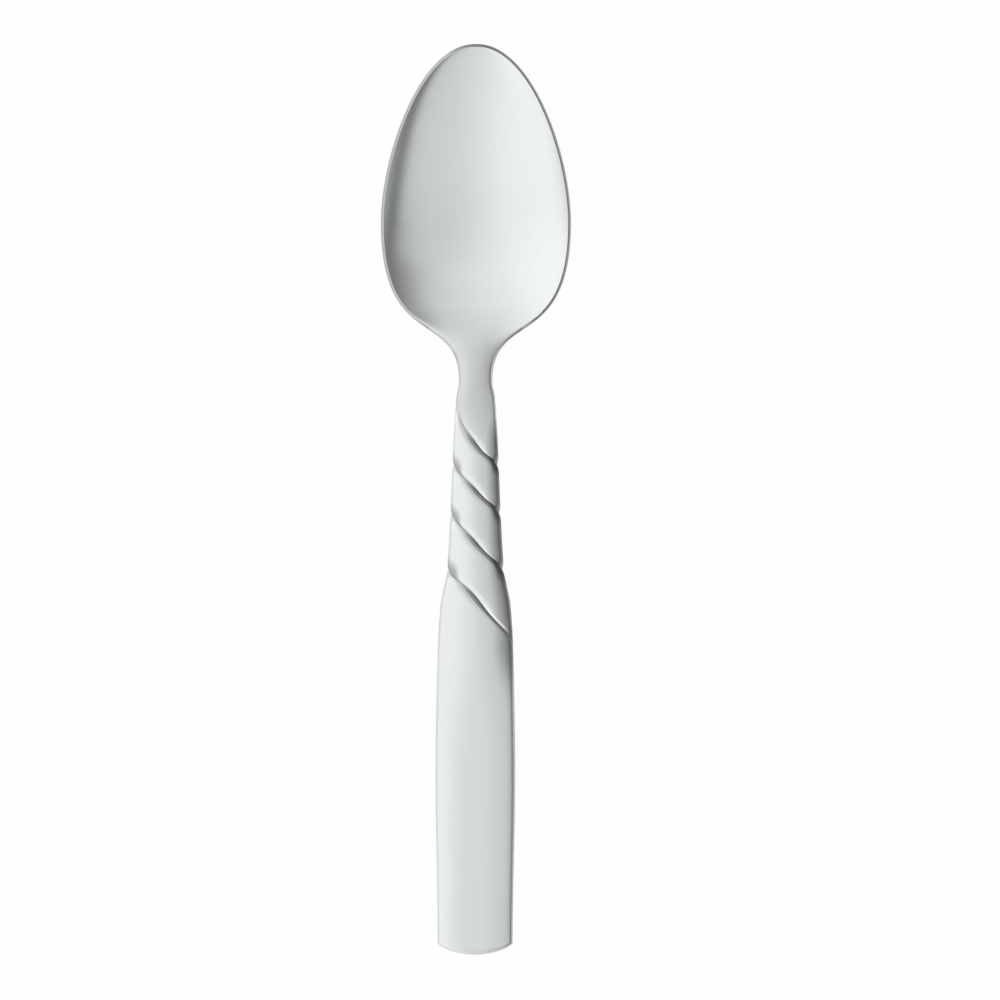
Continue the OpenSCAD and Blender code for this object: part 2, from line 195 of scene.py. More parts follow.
class StageLook(bpy.types.PropertyGroup):
    """Camera, floor and light."""
    pixel: size("Pixel", "Width of one pixel of the picture on the spoon", SPOON_MM / SPOON_PIXELS)
    pixels: IntProperty(name="Pixels", description="Width of the picture in pixels", default=1000)
    axis_at: FloatVectorProperty(name="Middle", description="Pixel of the picture at the middle of the spoon",
                                 default=(475.6, 500.1), size=2)
    roll: number("Roll", "Turn of the spoon in the picture", 0.0012, subtype="ANGLE")
    lens: number("Lens", "Focal length in millimetres", 300)
    white: colour("Floor", "Colour of the floor", (0.9, 0.9, 0.9))
    glow: share("Floor white", "Share of plain white in the floor as seen", 0.96)


# Curves

def ease(s):
    """Smooth step from 0 to 1."""
    c = np.clip(s, 0, 1)
    return c * c * (3 - 2 * c)


def bezier(points, t):
    """Points of a cubic curve with four control points."""
    p = np.array(points, float)
    t = np.asarray(t, float)[:, None]
    return p[0] * (1 - t) ** 3 + 3 * p[1] * t * (1 - t) ** 2 + 3 * p[2] * t * t * (1 - t) + p[3] * t ** 3


def cubic(p, m, q, n, run, s):
    """Cubic from p to q over a run, with slopes m and n."""
    return (p * (1 + 2 * s) * (1 - s) ** 2 + run * m * s * (1 - s) ** 2
            + q * s * s * (3 - 2 * s) + run * n * s * s * (s - 1))


def fair(knots, v):
    """Fair curve through knots of place and value, level at both ends and without overshoot."""
    at, value = np.array(knots, float).T
    rate = np.diff(value) / np.diff(at)
    slope = np.zeros(len(at))
    for i in range(1, len(at) - 1):
        before, after = rate[i - 1], rate[i]
        slope[i] = 2 * before * after / (before + after) if before * after > 0 else 0
    i = np.clip(np.searchsorted(at, v, side="right") - 1, 0, len(at) - 2)
    run = at[i + 1] - at[i]
    s = np.clip((v - at[i]) / run, 0, 1)
    return cubic(value[i], slope[i], value[i + 1], slope[i + 1], run, s)


class Ramp:
    """Smooth rise from 0 to a top value, from a start over a run."""

    def __init__(self, top, start, run):
        self.top, self.start, self.run = top, start, run

    def __call__(self, v):
        return self.top * ease((v - self.start) / self.run)


class Tones:
    """Shares of painted shade on the stem, and of a painted highlight on its lips.

    Ramps across the stem run from -1 at the left to 1 at the right. Ramps away from a groove count in
    reaches of a lip.
    """
    # Faint darkening over the whole stem and handle, and the ramp that marks the right side
    plain = 0.035
    right_side = Ramp(1, 0, 0.3)

    # Painted shade on the right edge of the stem
    broad_edge = Ramp(0.55, 0.36, 0.5)
    half_edge = Ramp(0.05, 0, 0.4)
    outer_edge = Ramp(0.2, 0.74, 0.26)
    sharp_edge = Ramp(0.44, 0.93, 0.05)
    grip_narrowing = 0.3

    # Painted shade below a groove: a line, which is broader at the right of the last one, and a notch at the
    # right
    left_line, right_line = 0.25, Ramp(0.75, -0.6, 0.7)
    line_reach, last_reach = 0.32, 0.2
    deep_from, deep_run, deep_growth = 0.5, 0.2, 0.12
    deep_fade = Ramp(1, 0.9, 1.5)
    broad_notch, broad_fade = Ramp(0.72, 0.34, 0.46), Ramp(1, 0, 4.5)

    # Above a groove: painted shade in notches at both sides, and a painted highlight on the lip, which is
    # longest on the last one and clears the shade beneath it there
    left_notch, left_fade = Ramp(0.57, 0.5, 0.25), Ramp(1, 0.8, 0.7)
    right_notch, right_fade = Ramp(0.53, 0.55, 0.3), Ramp(1, 0.1, 0.4)
    lip, lip_fade = Ramp(1, 0.4, 0.3), Ramp(1, 0.12, 0.18)
    last_lip, last_clean = 0.15, 0.85


class SpoonForm:
    """Curves and sections of the spoon, as functions of the station."""

    # Points round half a ring and on the side of the rim
    half_n, edge_n = 72, 2

    # Powers and shares of the curves
    ring_flat = 0.6
    dish_power = 6
    groove_power = 2.5
    heel_power, heel_soft = 2.2, 1.4
    side_round = 20
    neck_square, stem_square, square_run = 2.6, 2, 10 * MM
    neck_blend_from = 0.55
    bevel_below, bevel_above = 0.36, 0.6
    tip_w = 0.1 * MM

    # Turns and lengths over which the grooves and the painted shade and highlight fade
    start_fade, end_fade = math.radians(45), math.radians(25)
    soil_fade, soil_end = math.radians(75), 0.5
    last_line = 0.7 * HALF_TURN
    neck_lead, neck_start, neck_end = 4 * MM, 5 * MM, 8 * MM
    edge_start, edge_end = 6 * MM, 9 * MM
    notch_lead, notch_end = 6 * MM, 5 * MM
    tip_dark, tip_fade = 0.7, 1.5 * MM

    def __init__(self, scene):
        bowl, stem, handle = scene.spoon_bowl, scene.spoon_stem, scene.spoon_handle
        self.bowl, self.stem, self.handle = bowl, stem, handle
        self.ring_n = 2 * self.half_n
        self.ring_t = HALF_TURN * np.arange(self.ring_n) / self.half_n
        self.tang_r = stem.tang_d / 2
        self.bore_r = self.tang_r + stem.tang_gap
        self.neck_at = bowl.front + bowl.back
        self.twist_at = self.neck_at + stem.neck_l
        self.marks = self.twist_at + np.concatenate([[0], np.cumsum(stem.half_turns)])
        self.shoulder_at = self.marks[4]
        self.tang_end = self.shoulder_at + stem.tang_run
        self.length = self.shoulder_at + handle.length
        self.round_at = self.length - handle.end_round
        self.twist_end = HALF_TURN * len(stem.half_turns)
        self.neck_tone, self.rim_tone = scene.spoon_steel.neck_tone, scene.spoon_steel.rim_tone
        last = (self.marks[3] + self.shoulder_at) / 2
        grip = self.shoulder_at + handle.grip_at
        self.width_knots = [
            (self.neck_at, stem.neck_w / 2), (self.twist_at, stem.top_w / 2), (self.marks[3], stem.low_w / 2),
            (last, stem.last_w / 2), (self.shoulder_at, handle.shoulder_w / 2), (grip, handle.grip_w / 2),
            (self.round_at, handle.end_w / 2)]
        self.thick_knots = [
            (self.neck_at, stem.neck_t / 2), (self.twist_at, stem.top_t / 2), (self.marks[3], stem.low_t / 2),
            (self.shoulder_at, handle.shoulder_t / 2), (grip, handle.grip_t / 2),
            (self.round_at, handle.end_t / 2)]
        self.paces = np.array([stem.end_pace, *[stem.side_pace] * 3, stem.end_pace]) / HALF_TURN

        # Heights, with the lowest place of the bowl on the table
        outline, _ = bowl_rows(self)
        middle, half = self.wall(*outline.T, 0)
        self.rim_z = np.max(half - middle) - handle.rest_cut
        self.twist_z = self.rim_z + stem.neck_rise
        self.end_z = handle.end_t / 2 - handle.rest_cut

    def mid_z(self, d):
        """Height of the middle line."""
        slope = math.tan(self.stem.tilt)
        front = self.bowl.front
        heel_at = front + self.bowl.level_run
        heel = self.twist_at - heel_at
        stem = self.twist_z - (d - self.twist_at) * slope
        tail = self.length - self.tang_end
        tail_from = self.twist_z - (self.tang_end - self.twist_at) * slope
        rise = self.rim_z + self.bowl.tip_rise * np.maximum(0, 1 - d / front) ** 2
        back = cubic(self.rim_z, 0, self.twist_z, -slope, heel, (d - heel_at) / heel)
        end = cubic(tail_from, -slope, self.end_z, -self.handle.end_slope, tail, (d - self.tang_end) / tail)
        return np.select([d < heel_at, d < self.twist_at, d < self.tang_end], [rise, back, stem], end)

    def lean(self, d):
        """Lean of a section, which is upright in the bowl and square to the stem and the handle."""
        step = 0.05 * MM
        slope = (self.mid_z(d - step) - self.mid_z(d + step)) / (2 * step)
        heel = self.stem.tilt * ease((d - self.bowl.front) / self.bowl.back)
        return np.select([d < self.twist_at, d < self.tang_end], [heel, self.stem.tilt], np.arctan(slope))

    def dish(self, d, w):
        """Depth of the dish at a station where it is so wide."""
        front = np.where(d < self.bowl.front, np.minimum(1, w / (self.bowl.width / 2)) ** 2, 1)
        heel = np.clip((d - self.bowl.heel_from) / (self.bowl.heel_to - self.bowl.heel_from), 0, 1)
        return self.bowl.depth * front * (1 - heel ** self.heel_power) ** self.heel_soft

    def hollow(self, v):
        """Share of the depth at a share of the reach to the side."""
        soft = self.bowl.soft
        return 1 - soft * v ** 2 - (1 - soft) * np.abs(v) ** self.dish_power

    def hollow_slope(self, v):
        soft = self.bowl.soft
        return 2 * soft * v + self.dish_power * (1 - soft) * np.sign(v) * np.abs(v) ** (self.dish_power - 1)

    def wall(self, d, w, v):
        """Height of the middle of the bowl's wall and half its upright thickness, at a share of the reach."""
        bowl = self.bowl
        droop = self.dish(d, w)
        full = np.where(d < bowl.front, droop / bowl.depth, 1)
        thick = bowl.rim + (bowl.wall - bowl.rim) * (1 - v * v) * full
        slope = droop / np.maximum(w - bowl.bevel, MM) * self.hollow_slope(v)
        return -droop * self.hollow(v), thick / 2 * np.sqrt(1 + slope * slope)

    def place(self, d, x, h):
        """Points of the section at a station, x to the side and h above the middle line."""
        d, x, h = np.broadcast_arrays(d, x, h)
        lean = self.lean(d)
        return np.stack([x, self.length / 2 - d - h * np.sin(lean), self.mid_z(d) + h * np.cos(lean)], -1)

    def end_share(self, d):
        """Share of the full width left in the round that closes the handle."""
        run = np.clip((d - self.round_at) / self.handle.end_round, 0, 1)
        return np.sqrt(1 - run ** self.handle.end_corner)

    def half_w(self, d):
        return fair(self.width_knots, d) * self.end_share(d)

    def half_t(self, d):
        edge = self.handle.end_edge / 2
        end = edge + (self.handle.end_t / 2 - edge) * self.end_share(d)
        return np.where(d <= self.round_at, fair(self.thick_knots, d), end)

    def flat(self, t):
        """Angle round the oval stem at a turn of the twist, which runs faster past the sides."""
        whole = HALF_TURN * np.floor(t / HALF_TURN + TINY)
        return whole + np.arctan2(self.ring_flat * np.sin(t - whole), np.cos(t - whole))

    def oval(self, a, d):
        """Radius of the oval section at an angle that runs left, top, right, back."""
        k = ease((d - self.shoulder_at) / self.handle.grip_at)
        power = self.stem_power(d) + (self.handle.square - self.stem_square) * k
        side = self.stem.side + (self.handle.side - self.stem.side) * k
        return self.section(a, self.half_w(d), self.half_t(d), power, side)

    def stem_power(self, d):
        """Power of the oval of the stem, which is flatter at the neck."""
        k = ease((d - self.neck_at) / self.square_run)
        return self.neck_square + (self.stem_square - self.neck_square) * k

    def section(self, a, w, t, power, side):
        """Radius of an oval of a half width and a half thickness that is cut by upright sides."""
        q = self.side_round
        x, z = np.abs(np.cos(a)) / w, np.abs(np.sin(a)) / t
        return (((side * x) ** power + z ** power) ** (q / power) + (1 - side ** q) * x ** q) ** (-1 / q)

    def neck_soil(self, d):
        """Painted shade on the neck, which makes it darker than the rest."""
        start = ease((d - self.bowl.heel_to + self.neck_lead) / self.neck_start)
        return self.neck_tone * start * (1 - ease((d - self.twist_at) / self.neck_end))

    def across(self, t, d):
        """Place across the stem at a turn round it, from -1 at the left to 1 at the right."""
        a = self.flat(t)
        return -np.cos(a) * self.oval(a, d) / self.half_w(np.minimum(d, self.round_at))

    def edge_soil(self, t, d):
        """Painted shade on the right edge of the stem, which narrows on the grip."""
        across = self.across(t, d)
        on_grip = ease((d - self.shoulder_at) / self.edge_end)
        broad = Tones.broad_edge(across - Tones.grip_narrowing * on_grip) * (1 - on_grip)
        broad = broad + Tones.half_edge(across) + Tones.outer_edge(across)
        tone = np.maximum(np.maximum(broad, Tones.sharp_edge(across)), Tones.plain)
        return ease((d - self.twist_at) / self.edge_start) * tone

    def on_stem(self, a, d, r):
        return self.place(d, -r * np.cos(a), r * np.sin(a))

    def groove_at(self, t):
        """Station of a groove at a turn of the twist."""
        i = np.clip(np.floor(t / HALF_TURN + TINY).astype(int), 0, len(self.marks) - 2)
        s = t / HALF_TURN - i
        return cubic(self.marks[i], self.paces[i], self.marks[i + 1], self.paces[i + 1], HALF_TURN, s)

    def groove_fading(self, t, end=1.0):
        """Share of a groove at a turn of the twist, which fades at both ends."""
        return ease(t / self.start_fade) * ease((self.twist_end - t) / (end * self.end_fade))

    def tone_below(self, across, d, span, last):
        """Painted shade below a groove, where the notch at the right ends before the shoulder."""
        line = Tones.left_line + Tones.right_line(across)
        line = line * (1 - ease(span / (Tones.line_reach + Tones.last_reach * last)))
        deep = ease((across - Tones.deep_from) / (Tones.deep_run + Tones.deep_growth * span))
        deep = deep * (1 - Tones.deep_fade(span))
        broad = Tones.broad_notch(across) * (1 - Tones.broad_fade(span))
        end = ease((d - self.shoulder_at + self.notch_lead) / self.notch_end)
        return np.maximum(line, np.maximum(deep, broad) * (1 - end))

    def tone_above(self, across, span, last):
        """Painted shade above a groove, at both sides."""
        left = Tones.left_notch(-across) * (1 - Tones.left_fade(span))
        right = Tones.right_notch(across) * (1 - last) * (1 - Tones.right_fade(span))
        return np.maximum(left, right)

    def strand_r(self, t, d, above=None, below=None):
        """Radius at a turn round the stem between the grooves above and below, with its painted shade and
        painted highlight.

        Painted shade lies on the edge below a groove and where a groove meets the sides, most at the right.
        The edge above a groove gets a painted highlight.
        """
        r = self.oval(self.flat(t), d)
        across = self.across(t, d)
        soil = self.edge_soil(t, d)
        shine = np.zeros_like(r)
        for turn, way in ((above, 1), (below, -1)):
            if turn is None:
                continue
            span = way * (d - self.groove_at(turn)) / self.stem.groove_reach
            deep = np.maximum(0, 1 - span) ** self.groove_power
            r = r - self.stem.groove_depth * self.groove_fading(turn) * deep
            fading = self.groove_fading(turn, self.soil_end)
            last = Tones.right_side(across) * (turn > self.twist_end - self.last_line)
            if way > 0:
                tone = self.tone_below(across, d, span, last)
            else:
                tone = self.tone_above(across, span, last)
                lip = Tones.lip(np.abs(np.sin(t)) + Tones.last_lip * last)
                shine = fading * lip * (1 - Tones.lip_fade(span))
                soil = soil * (1 - Tones.last_clean * shine * last)
            soil = np.maximum(soil, fading * ease(turn / self.soil_fade) * tone)
        return r, soil, shine


# Meshes

class Skin:
    """Points and faces of one piece, with masks for its painted shade and its painted highlight."""

    def __init__(self):
        self.points, self.soil, self.shine, self.faces = [], [], [], []
        self.count = 0

    def add(self, points, soil=0.0, shine=0.0):
        """Adds points of any grid and gives back the grid of their numbers."""
        grid = points.shape[:-1]
        n = int(np.prod(grid))
        self.points.append(points.reshape(n, 3))
        self.soil.append(np.broadcast_to(soil, grid).reshape(n))
        self.shine.append(np.broadcast_to(shine, grid).reshape(n))
        self.count += n
        return np.arange(self.count - n, self.count).reshape(grid)

    def face(self, loop):
        kept = [int(v) for i, v in enumerate(loop) if v != loop[i - 1]]
        if len(kept) > 2:
            self.faces.append(kept)

    def sheet(self, grid, closed=False):
        """Faces between the rows of a grid of numbers, which may close on itself across the rows."""
        cols = grid.shape[1]
        for low, high in zip(grid[:-1], grid[1:]):
            for j in range(cols if closed else cols - 1):
                k = (j + 1) % cols
                self.face([low[j], low[k], high[k], high[j]])

    def fan(self, loop, centre):
        """Closes a ring of numbers with a point in its middle."""
        middle = self.add(np.array([centre], float))[0]
        for i, v in enumerate(loop):
            self.face([loop[i - 1], v, middle])

    def build(self, name):
        """Makes the object, lying on the table."""
        points = np.concatenate(self.points)
        points[:, 2] = np.maximum(points[:, 2], 0)
        mesh = bpy.data.meshes.new(name)
        mesh.from_pydata(points.tolist(), [], self.faces)
        for label, values in (("soil", self.soil), ("shine", self.shine)):
            mask = mesh.attributes.new(label, "FLOAT", "POINT")
            mask.data.foreach_set("value", np.concatenate(values).astype(np.float32))
        tidy = bmesh.new()
        tidy.from_mesh(mesh)
        bmesh.ops.delete(tidy, geom=[v for v in tidy.verts if not v.link_faces], context="VERTS")
        bmesh.ops.recalc_face_normals(tidy, faces=tidy.faces[:])
        open_edges = sum(not e.is_manifold for e in tidy.edges)
        tidy.to_mesh(mesh)
        tidy.free()
        if open_edges:
            raise RuntimeError(f"{name} has {open_edges} open edges")
        mesh.polygons.foreach_set("use_smooth", [True] * len(mesh.polygons))
        mesh.set_sharp_from_angle(angle=SHARP)
        piece = bpy.data.objects.new(name, mesh)
        bpy.context.scene.collection.objects.link(piece)
        return piece


def add_lips(skin, form, foot, base, turn, grow, core_r, core_run):
    """Two helical lips on the last ring of a body, and the tang or bore in their middle.

    The lips grow from no length at one end of a half turn to a whole half turn at the other. The core
    goes on from their inner edges through rings of station and radius.
    """
    rows = 30
    half_n, ring_n = form.half_n, form.ring_n
    j = np.arange(half_n + 1)
    k = np.arange(1, rows + 1)
    t = turn + HALF_TURN * j / half_n
    ends = form.groove_at(t) - grow * form.stem.braze_gap / 2
    stations = base + (ends - base)[:, None] * np.sin(math.pi / 2 * k / rows)
    turns = np.broadcast_to(t[:, None], stations.shape)
    closed = 0 if grow > 0 else half_n
    wall = half_n - closed
    round_a = form.flat(form.ring_t)
    core_foot = skin.add(form.on_stem(round_a, base, core_r))
    for h in (0, 1):
        at = (HALF_TURN * (j / half_n + h))[:, None]
        beside = {"below": turns} if grow > 0 else {"above": turns}
        r, soil, shine = form.strand_r(at, stations, **beside)
        soil = np.maximum(soil, form.neck_soil(stations))
        outer = skin.add(form.on_stem(form.flat(at), stations, r), soil, shine)
        core_edge = skin.add(form.on_stem(form.flat(at[:, 0]), ends, core_r))
        column = (h * half_n + j) % ring_n
        outer = np.concatenate([foot[column][:, None], outer], axis=1)
        outer[closed, :] = foot[column[closed]]
        core_edge[closed] = core_foot[column[closed]]
        skin.sheet(outer)
        skin.sheet(np.stack([outer[:, -1], core_edge, core_foot[column]], axis=1))
        skin.face([*outer[wall], core_edge[wall], core_foot[column[wall]]])
    ring = core_foot
    for d, r in core_run:
        following = skin.add(form.on_stem(round_a, d, r))
        skin.sheet(np.stack([ring, following]), closed=True)
        ring = following
    skin.fan(ring, form.place(core_run[-1][0], 0, 0))


def bowl_rows(form):
    """Outline of the bowl and neck as stations and half widths, with the outward direction at each."""
    bowl, stem = form.bowl, form.stem
    front_n, back_n, neck_n = 84, 96, 14
    side = bowl.width / 2
    front = [(0, form.tip_w), (0, bowl.tip_round), (bowl.front - bowl.side_run, side), (bowl.front, side)]
    back = [(bowl.front, side), (bowl.front + bowl.heel_run, side),
            (form.neck_at - bowl.neck_run, stem.neck_w / 2), (form.neck_at, stem.neck_w / 2)]
    neck_d = np.linspace(form.neck_at, form.twist_at, neck_n + 1)[1:]
    outline = np.concatenate([
        bezier(front, np.arange(front_n) / front_n),
        bezier(back, np.arange(back_n + 1) / back_n),
        np.stack([neck_d, form.half_w(neck_d)], -1),
    ])
    along = np.gradient(outline, axis=0)
    along[0] = (0, 1)
    along /= np.linalg.norm(along, axis=1)[:, None]
    outward = np.stack([-along[:, 1], along[:, 0]], -1)
    return outline, outward


def bowl_skin(form):
    """Dished shell with a bevelled rim that turns into the round neck, two helical lips and the tang."""
    bowl, stem = form.bowl, form.stem
    skin = Skin()
    edge_n, half_n = form.edge_n, form.half_n
    top_n = half_n - 2 * edge_n
    outline, outward = bowl_rows(form)
    inset = outline - bowl.bevel * outward
    d, reach = inset[:, :1], inset[:, 1:]
    u = -np.cos(math.pi * np.arange(top_n + 1) / top_n)
    middle, half = form.wall(d, reach + bowl.bevel, u)
    top = form.place(d, reach * u, middle + half)
    bottom = form.place(d, reach * u, middle - half)

    # Upright side of the rim, with a bevel above and a narrow one below
    out_d, out_w = outline[:, :1], outline[:, 1:]
    crest = half[:, :1]
    side_h = np.concatenate([
        form.bevel_below * bowl.bevel - crest, 0 * crest, crest - form.bevel_above * bowl.bevel], axis=1)
    crown = bowl.crown * np.array([1, 0, 1])
    side_d, side_w = out_d - crown * outward[:, :1], out_w - crown * outward[:, 1:]
    left = form.place(side_d, -side_w, side_h)
    right = form.place(side_d, side_w, side_h)
    shell = np.concatenate([left[:, 1:], top, right[:, ::-1], bottom[:, ::-1], left[:, :1]], axis=1)

    # The dish turns into the oval of the neck along the heel
    blend_at = bowl.front + bowl.back * form.neck_blend_from
    k = ease((out_d - blend_at) / (form.twist_at - blend_at))
    a = form.flat(form.ring_t)
    neck_r = form.section(a, out_w, form.half_t(out_d), form.stem_power(out_d), stem.side)
    rings = shell * (1 - k[..., None]) + form.on_stem(a, out_d, neck_r) * k[..., None]

    # Painted shade on the rim, darker than the dish and darkest at the tip
    on_rim = np.zeros(form.ring_n)
    on_rim[[*range(-edge_n, edge_n + 1), *range(half_n - edge_n, half_n + edge_n + 1)]] = form.rim_tone
    near_tip = 1 - ease((out_d - out_d[0]) / form.tip_fade)
    soil = np.maximum(form.neck_soil(out_d), on_rim * (1 - k) * (1 + form.tip_dark * near_tip))
    tip_tone = (1 + form.tip_dark) * form.rim_tone
    soil[0] = tip_tone
    grid = skin.add(rings, soil)
    skin.sheet(grid, closed=True)

    # Front of the tip
    inside = form.place(side_d[0], (reach[0] * u[1:-1])[:, None], side_h[0])
    ring = grid[0]
    front = np.empty((top_n + 1, 5), int)
    front[1:-1, 1:-1] = skin.add(inside, tip_tone)
    front[:, -1] = ring[edge_n:edge_n + top_n + 1]
    front[:, 0] = ring[half_n + edge_n:half_n + edge_n + top_n + 1][::-1]
    front[0, 1:-1] = [ring[-1], ring[0], ring[1]]
    front[-1, 1:-1] = [ring[half_n + 1], ring[half_n], ring[half_n - 1]]
    skin.sheet(front)

    point = 0.3 * MM
    add_lips(skin, form, grid[-1], form.twist_at, 0, 1, form.bore_r, [
        (form.twist_at, form.tang_r), (form.tang_end - point, form.tang_r),
        (form.tang_end, form.tang_r - point / 2)])
    return skin


def strand_skin(form, start):
    """One strand of the twist, which starts at an angle round the neck and winds one and a half turns."""
    stem = form.stem
    skin = Skin()
    relief = math.radians(0.8)
    lip_shares = np.array([0, 0.04, 0.1, 0.18, 0.28, 0.4, 0.54, 0.7, 0.85, 1])
    back_shares = np.array([0.25, 0.5, 0.75])
    half_turns = 3
    t = HALF_TURN * np.arange(half_turns * form.half_n + 1) / form.half_n
    t = np.clip(t, relief, half_turns * HALF_TURN - relief)[:, None]
    at = t + start
    a = form.flat(at)
    first = form.groove_at(t) + stem.braze_gap / 2
    last = form.groove_at(t + HALF_TURN) - stem.braze_gap / 2
    lip = lip_shares * stem.groove_reach
    between = first + stem.groove_reach + (last - first - 2 * stem.groove_reach) * back_shares
    d = np.concatenate([first + lip, between, last - lip[::-1]], axis=1)
    r, soil, shine = form.strand_r(at, d, above=np.broadcast_to(t, d.shape),
                                   below=np.broadcast_to(t + HALF_TURN, d.shape))
    outer = form.on_stem(a, d, r)
    inner = form.on_stem(a, np.concatenate([last, first], axis=1), form.bore_r)
    # The faces between the strands take full painted shade and no highlight
    none = np.zeros((len(t), 2))
    rings = skin.add(np.concatenate([outer, inner], axis=1), np.concatenate([soil, none + 1], axis=1),
                     np.concatenate([shine, none], axis=1))
    skin.sheet(rings, closed=True)
    skin.face(rings[0])
    skin.face(rings[-1])
    return skin


def handle_skin(form):
    """Flat grip with a shallow round end, two helical lips and the bore for the tang."""
    skin = Skin()
    end_n, grip_n = 30, 110
    nearly_square = math.radians(89.5)
    bore_room = 0.5 * MM
    end_turn = nearly_square * np.arange(end_n, 0, -1) / end_n
    d = np.concatenate([
        form.round_at + form.handle.end_round * np.sin(end_turn),
        np.linspace(form.round_at, form.shoulder_at, grip_n + 1)])[:, None]
    a = form.flat(form.ring_t)
    grid = skin.add(form.on_stem(a, d, form.oval(a, d)), form.edge_soil(form.ring_t, d))
    skin.sheet(grid, closed=True)
    skin.fan(grid[0], form.place(d[0, 0], 0, 0))
    add_lips(skin, form, grid[-1], form.shoulder_at, 3 * HALF_TURN, -1, form.bore_r,
             [(form.tang_end + bore_room, form.bore_r)])
    return skin


# Finishes

# Waves of the cloudy tone in a metre, noise at which scratches start and end, and lightest and darkest steel
CLOUD_SCALE = (130, 90, 130)
SCRATCHED = (0.68, 0.74)
STEEL_RANGE = (1.03, 0.96)

# Changes of the roughness, and heights beside that of the grain
GRAIN_ROUGH, CLOUD_ROUGH, SCRATCH_ROUGH, SOIL_ROUGH, SHINE_ROUGH = 0.12, 0.1, 0.06, 0.15, -0.05
STREAK_HEIGHT, SCRATCH_DEPTH = 0.6, 0.8


class Value:
    """Output of a node that can be used in sums."""

    def __init__(self, shade, socket):
        self.shade, self.socket = shade, socket

    def __add__(self, other):
        return self.shade.math("ADD", self, other)

    def __radd__(self, other):
        return self.shade.math("ADD", other, self)

    def __sub__(self, other):
        return self.shade.math("SUBTRACT", self, other)

    def __rsub__(self, other):
        return self.shade.math("SUBTRACT", other, self)

    def __mul__(self, other):
        return self.shade.math("MULTIPLY", self, other)

    def __rmul__(self, other):
        return self.shade.math("MULTIPLY", other, self)


class Shade:
    """Node tree of a finish, emptied, with a short way to add nodes and join them."""

    def __init__(self, tree):
        self.tree = tree
        tree.nodes.clear()

    def add(self, kind, settings=None, inputs=None, out=0):
        node = self.tree.nodes.new(kind)
        for name, value in (settings or {}).items():
            setattr(node, name, value)
        for name, value in (inputs or {}).items():
            if isinstance(value, Value):
                self.tree.links.new(value.socket, node.inputs[name])
            else:
                node.inputs[name].default_value = value
        return Value(self, node.outputs[out]) if node.outputs else node

    def math(self, operation, *terms):
        return self.add("ShaderNodeMath", {"operation": operation}, dict(enumerate(terms)))

    def mix(self, factor, first, second):
        """Colour between two colours."""
        colours = {6: first, 7: second}
        for socket, value in colours.items():
            if not isinstance(value, Value):
                colours[socket] = (*value, 1)
        return self.add("ShaderNodeMix", {"data_type": "RGBA"}, {0: factor, **colours}, 2)

    def noise(self, where, scale, detail, roughness=0.5):
        stretched = self.add("ShaderNodeVectorMath", {"operation": "MULTIPLY"}, {0: where, 1: scale})
        return self.add("ShaderNodeTexNoise", {}, {"Vector": stretched, "Scale": 1.0, "Detail": detail,
                                                   "Roughness": roughness})

    def step(self, value, low, high):
        """Smooth step from 0 to 1 between two values."""
        return self.add("ShaderNodeMapRange", {"interpolation_type": "SMOOTHSTEP"},
                        {"Value": value, "From Min": low, "From Max": high})

    def mask(self, name):
        """Mask kept on the points of a mesh."""
        return self.add("ShaderNodeAttribute", {"attribute_name": name}, out="Fac")


def satin_steel(name, look, offset):
    """Stainless steel brushed along the spoon, with a painted highlight on its lips and painted shade in its
    grooves.
    """
    material = bpy.data.materials.new(name)
    material.use_nodes = True
    shade = Shade(material.node_tree)
    where = shade.add("ShaderNodeVectorMath", {"operation": "ADD"},
                      {0: shade.add("ShaderNodeTexCoord", out="Object"), 1: offset})
    lines, runs = 1 / look.grain_pitch, 1 / look.grain_run
    grain = shade.noise(where, (lines, runs, lines), 3, 0.6)
    streak = shade.noise(where, (lines / 7, runs / 2, lines / 7), 2)
    cloud = shade.noise(where, CLOUD_SCALE, 3)
    scratch = shade.step(shade.noise(where, (lines / 3, runs / 3, lines / 3), 1), *SCRATCHED)
    soil, shine = shade.mask("soil"), shade.mask("shine")

    light, dark = [tuple(c * f for c in look.steel) for f in STEEL_RANGE]
    tone = shade.mix(streak * 0.5 + cloud * 0.5, dark, light)
    # Painted highlight on the lips, then painted shade in the grooves, on the edges, the neck and the rim
    tone = shade.mix(shine, tone, tuple(look.worn))
    tone = shade.mix(soil, tone, tuple(look.soil))
    rough = look.satin
    for mask, change in ((grain - 0.5, GRAIN_ROUGH), (cloud - 0.5, CLOUD_ROUGH), (scratch, SCRATCH_ROUGH),
                         (soil, SOIL_ROUGH), (shine, SHINE_ROUGH)):
        rough = rough + mask * change
    height = grain + streak * STREAK_HEIGHT - scratch * SCRATCH_DEPTH
    bump = shade.add("ShaderNodeBump", {}, {"Strength": 1.0, "Distance": look.grain_height, "Height": height})
    steel = shade.add("ShaderNodeBsdfPrincipled", {}, {
        "Base Color": tone, "Metallic": 1.0, "Roughness": rough, "Normal": bump})
    shade.add("ShaderNodeOutputMaterial", {}, {"Surface": steel})
    return material


def dress(piece, material, node):
    """Gives a piece its finish and puts it in the place of its CAD node."""
    piece.data.materials.append(material)
    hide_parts(node)
    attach(piece, "root")


# Stage

